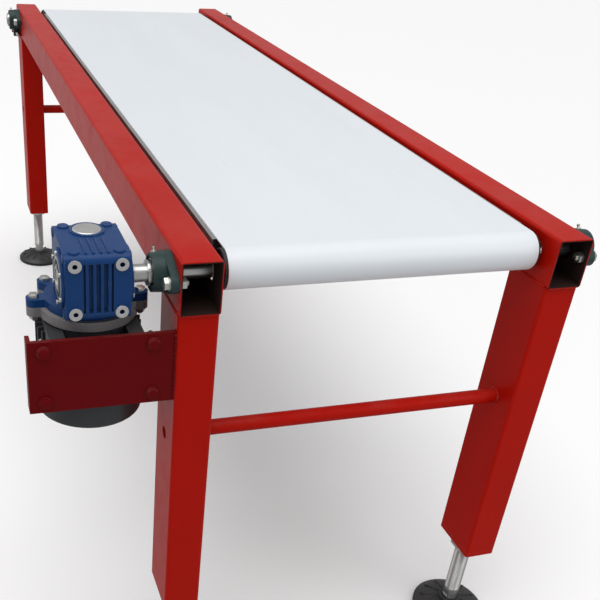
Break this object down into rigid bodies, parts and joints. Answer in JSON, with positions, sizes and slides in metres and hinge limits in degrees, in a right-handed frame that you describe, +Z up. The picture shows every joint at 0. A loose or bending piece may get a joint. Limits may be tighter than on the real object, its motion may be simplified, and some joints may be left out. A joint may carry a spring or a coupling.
{
  "type": "belt conveyor section",
  "caption": "Flat slider-bed belt conveyor section on four levelling feet, with box-section rails and legs and a side-mounted worm gearmotor.",
  "frame": {"origin": "floor level, at the middle of the overall box in plan", "axes": "+X along the belt from the drive end to the tail end, +Y towards the gearmotor side, +Z up"},
  "size_m": [2.032, 0.896, 0.8402],
  "materials": {
    "frame_red": "semi-gloss red enamel",
    "bracket_red": "semi-gloss dark red enamel",
    "zinc_steel": "zinc plated",
    "turned_steel": "turned bright steel",
    "black_nylon": "moulded, matt",
    "white_pvc": "smooth PVC belt cover",
    "sheet_steel": "galvanised sheet",
    "roller_grey": "matt",
    "drum_black": "matt black",
    "bearing_steel": "ground steel",
    "teal_cast_iron": "painted casting",
    "gearbox_blue": "blue enamel on a die casting",
    "bare_aluminium": "machined",
    "bronze": "machined bronze",
    "flange_grey": "die cast, bare",
    "motor_grey": "dark grey enamel",
    "lamination_steel": "varnished laminations",
    "cover_grey": "dark grey enamel"
  },
  "bodies": {
    "frame": {"left_rail": "frame_red", "right_rail": "frame_red", "drive_left_leg": "frame_red", "drive_right_leg": "frame_red", "tail_left_leg": "frame_red", "tail_right_leg": "frame_red", "foot_plates": "frame_red", "foot_jam_nuts": "zinc_steel", "leg_cross_bars": "frame_red", "conveyor_belt": "white_pvc", "slider_bed": "sheet_steel", "bed_cross_members": "sheet_steel", "return_roller_axles": "turned_steel", "return_roller_hangers": "zinc_steel", "drive_bearing_outer_rings": "bearing_steel", "drive_bearing_housings": "teal_cast_iron", "drive_bearing_bolts": "zinc_steel", "tension_plates": "frame_red", "gearbox_housing": "gearbox_blue", "gearbox_side_covers": "gearbox_blue", "worm_cap": "bare_aluminium", "gearbox_input_flange": "gearbox_blue", "motor_flange": "flange_grey", "motor_frame": "motor_grey", "stator_core": "lamination_steel", "fan_cover": "cover_grey", "terminal_box": "motor_grey", "terminal_box_lid": "motor_grey", "cable_gland": "black_nylon", "motor_bracket": "bracket_red", "gearmotor_bolts": "zinc_steel"},
    "drive_drum": {"drive_drum_shell": "drum_black", "drive_drum_discs": "drum_black", "drive_bearing_inner_rings": "bearing_steel", "drive_shaft": "turned_steel", "shaft_key": "turned_steel", "output_hub": "turned_steel", "worm_wheel": "bronze"},
    "motor_rotor": {"motor_rotor": "turned_steel", "worm_shaft": "turned_steel", "cooling_fan": "black_nylon"},
    "take_up_carriage": {"tail_bearing_housings": "teal_cast_iron", "tail_bearing_outer_rings": "bearing_steel", "tail_bearing_bolts": "zinc_steel"},
    "tail_drum": {"tail_drum_shell": "drum_black", "tail_drum_discs": "drum_black", "tail_bearing_inner_rings": "bearing_steel", "tail_shaft": "turned_steel"},
    "left_tension_screw": {"left_tension_screw": "zinc_steel"},
    "right_tension_screw": {"right_tension_screw": "zinc_steel"},
    "return_roller_1": {"return_roller_1": "roller_grey"},
    "return_roller_2": {"return_roller_2": "roller_grey"},
    "drive_left_foot_spindle": {"drive_left_foot_spindle": "turned_steel"},
    "drive_left_foot_pad": {"drive_left_foot_pad": "black_nylon"},
    "drive_right_foot_spindle": {"drive_right_foot_spindle": "turned_steel"},
    "drive_right_foot_pad": {"drive_right_foot_pad": "black_nylon"},
    "tail_left_foot_spindle": {"tail_left_foot_spindle": "turned_steel"},
    "tail_left_foot_pad": {"tail_left_foot_pad": "black_nylon"},
    "tail_right_foot_spindle": {"tail_right_foot_spindle": "turned_steel"},
    "tail_right_foot_pad": {"tail_right_foot_pad": "black_nylon"}
  },
  "joints": [
    {"name": "motor_rotor_turn", "type": "hinge", "parent": "frame", "child": "motor_rotor", "pos_m": [-0.901, 0.35, 0.6632], "axis": [0, 0, 1], "continuous": true},
    {"name": "drive_drum_turn", "type": "hinge", "parent": "frame", "child": "drive_drum", "pos_m": [-0.946, -0.083, 0.7902], "axis": [0, 1, 0], "continuous": true},
    {"name": "take_up_slide", "type": "slide", "parent": "frame", "child": "take_up_carriage", "axis": [1, 0, 0], "range_m": [-0.025, 0]},
    {"name": "tail_drum_turn", "type": "hinge", "parent": "take_up_carriage", "child": "tail_drum", "pos_m": [0.934, -0.083, 0.7902], "axis": [0, 1, 0], "continuous": true},
    {"name": "return_roller_1_turn", "type": "hinge", "parent": "frame", "child": "return_roller_1", "pos_m": [-0.31933, -0.083, 0.7441], "axis": [0, 1, 0], "continuous": true},
    {"name": "return_roller_2_turn", "type": "hinge", "parent": "frame", "child": "return_roller_2", "pos_m": [0.30733, -0.083, 0.7441], "axis": [0, 1, 0], "continuous": true},
    {"name": "left_tension_screw_turn", "type": "hinge", "parent": "frame", "child": "left_tension_screw", "pos_m": [0.986, 0.252, 0.753], "axis": [1, 0, 0], "range_deg": [-7201, 1]},
    {"name": "right_tension_screw_turn", "type": "hinge", "parent": "frame", "child": "right_tension_screw", "pos_m": [0.986, -0.418, 0.753], "axis": [1, 0, 0], "range_deg": [-7201, 1]},
    {"name": "drive_left_foot_height", "type": "slide", "parent": "frame", "child": "drive_left_foot_spindle", "axis": [0, 0, -1], "range_m": [-0.04, 0.03]},
    {"name": "drive_left_foot_swivel", "type": "hinge", "parent": "drive_left_foot_spindle", "child": "drive_left_foot_pad", "pos_m": [-0.946, 0.212, 0.016], "axis": [0, 0, 1], "continuous": true},
    {"name": "drive_right_foot_height", "type": "slide", "parent": "frame", "child": "drive_right_foot_spindle", "axis": [0, 0, -1], "range_m": [-0.04, 0.03]},
    {"name": "drive_right_foot_swivel", "type": "hinge", "parent": "drive_right_foot_spindle", "child": "drive_right_foot_pad", "pos_m": [-0.946, -0.378, 0.016], "axis": [0, 0, 1], "continuous": true},
    {"name": "tail_left_foot_height", "type": "slide", "parent": "frame", "child": "tail_left_foot_spindle", "axis": [0, 0, -1], "range_m": [-0.04, 0.03]},
    {"name": "tail_left_foot_swivel", "type": "hinge", "parent": "tail_left_foot_spindle", "child": "tail_left_foot_pad", "pos_m": [0.946, 0.212, 0.016], "axis": [0, 0, 1], "continuous": true},
    {"name": "tail_right_foot_height", "type": "slide", "parent": "frame", "child": "tail_right_foot_spindle", "axis": [0, 0, -1], "range_m": [-0.04, 0.03]},
    {"name": "tail_right_foot_swivel", "type": "hinge", "parent": "tail_right_foot_spindle", "child": "tail_right_foot_pad", "pos_m": [0.946, -0.378, 0.016], "axis": [0, 0, 1], "continuous": true}
  ],
  "couplings": [
    {"joint": "drive_drum_turn", "follows": "motor_rotor_turn", "ratio": 0.033333},
    {"joint": "tail_drum_turn", "follows": "motor_rotor_turn", "ratio": 0.033333},
    {"joint": "return_roller_1_turn", "follows": "motor_rotor_turn", "ratio": -0.065556},
    {"joint": "return_roller_2_turn", "follows": "motor_rotor_turn", "ratio": -0.065556},
    {"joint": "left_tension_screw_turn", "follows": "take_up_slide", "rad_per_m": 5026.5},
    {"joint": "right_tension_screw_turn", "follows": "take_up_slide", "rad_per_m": 5026.5}
  ]
}
